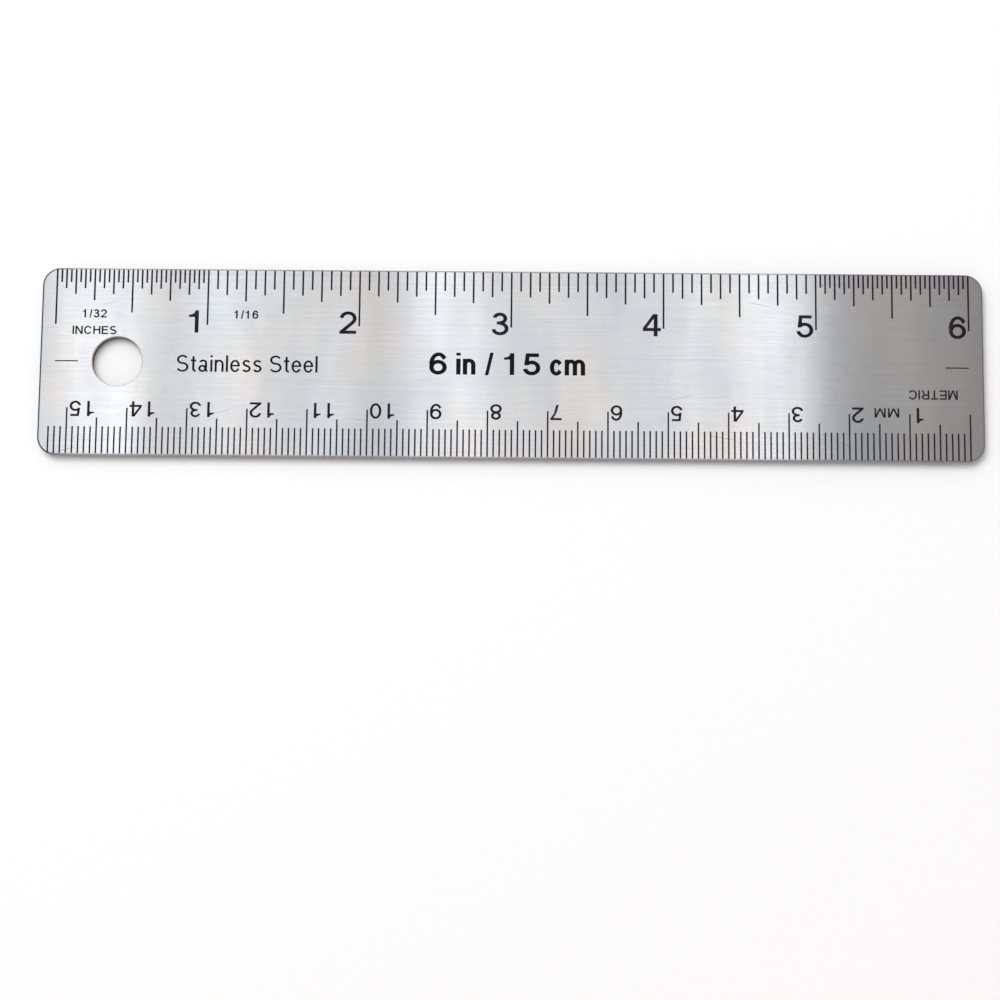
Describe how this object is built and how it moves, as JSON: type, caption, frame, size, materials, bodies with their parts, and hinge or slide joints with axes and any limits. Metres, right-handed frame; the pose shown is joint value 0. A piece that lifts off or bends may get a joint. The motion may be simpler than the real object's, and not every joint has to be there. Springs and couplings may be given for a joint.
{
  "type": "steel ruler",
  "caption": "Short flexible stainless steel rule with inch and metric graduations, a hang hole near one end and a cork backing.",
  "frame": {"origin": "middle of the cork's underside, under the middle of the blade's outline", "axes": "+X along the blade, away from the hang hole; +Y towards the inch edge; +Z out of the graduated face"},
  "size_m": [0.1572, 0.0318, 0.0017],
  "materials": {
    "stainless_steel": "fine lengthwise brushed grain, satin",
    "black_enamel": "black enamel fill in etched marks, low sheen",
    "cork": "fine-grain agglomerated cork, sanded, dark golden brown",
    "adhesive": "thin dried contact adhesive film"
  },
  "bodies": {
    "root": {"steel_blade": "stainless_steel", "adhesive_film": "adhesive", "cork_backing": "cork", "inch_graduations": "black_enamel", "metric_graduations": "black_enamel", "inch_numerals": "black_enamel", "metric_numerals": "black_enamel", "fraction_legends": "black_enamel", "inch_unit_legend": "black_enamel", "metric_unit_legends": "black_enamel", "centre_hairlines": "black_enamel", "material_legend": "black_enamel", "length_legend": "black_enamel"}
  },
  "joints": []
}
